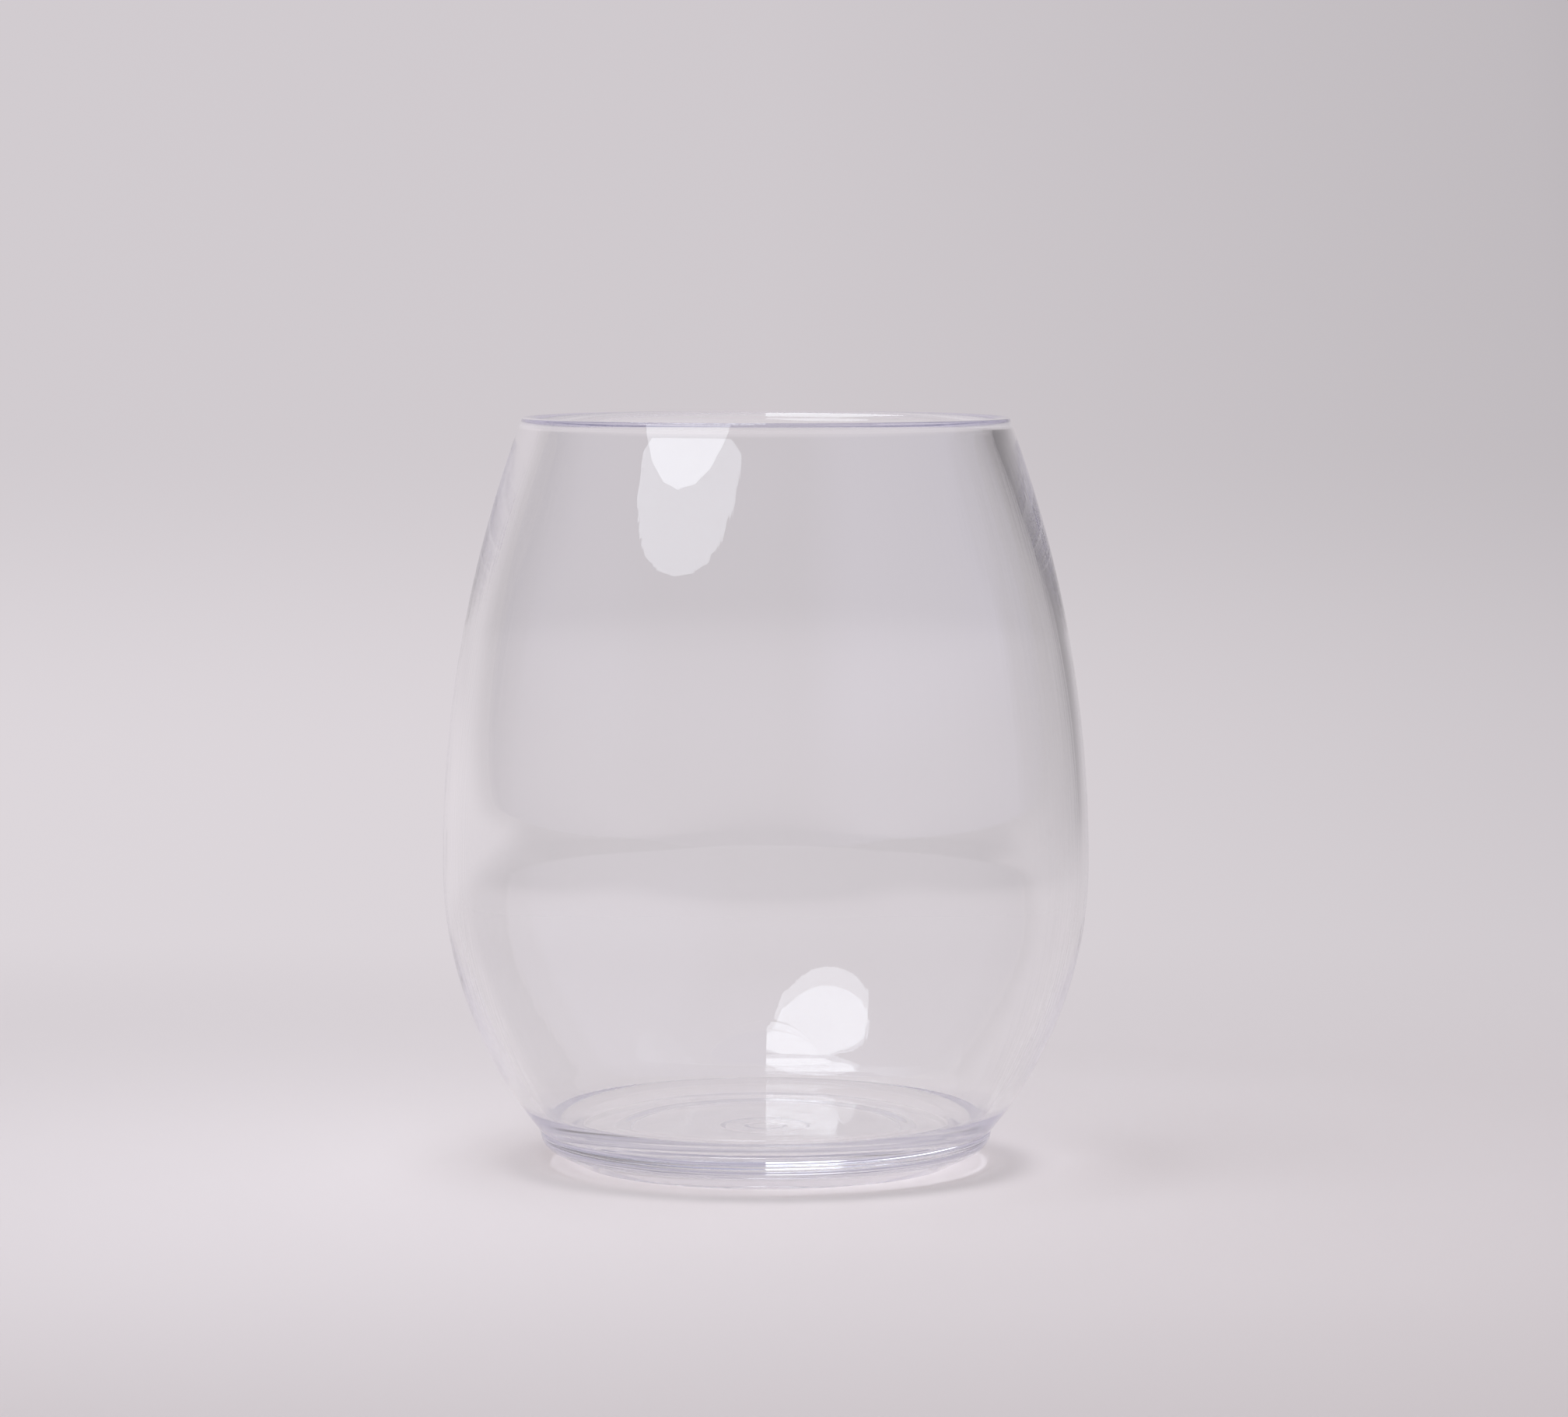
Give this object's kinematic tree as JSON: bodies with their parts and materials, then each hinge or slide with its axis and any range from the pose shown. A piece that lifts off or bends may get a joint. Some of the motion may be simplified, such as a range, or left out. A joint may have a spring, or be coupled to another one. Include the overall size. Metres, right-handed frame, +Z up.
{
  "type": "water glass",
  "caption": "Stemless barrel-shaped water tumbler of clear moulded plastic, with a drawn-in round-lipped mouth and a low tapered foot that is recessed underneath.",
  "frame": {"origin": "centre of the foot's contact ring, on the table", "axes": "+Z up along the axis of the glass, from the foot to the mouth; the glass is round, so X and Y are free, and -Y is the side that faces the viewer in the picture"},
  "size_m": [0.09, 0.09, 0.104],
  "materials": {
    "clear_plastic": "clear, polished, with a faint blue-violet tint in its thick places"
  },
  "bodies": {
    "root": {"bowl": "clear_plastic", "foot": "clear_plastic"}
  },
  "joints": []
}
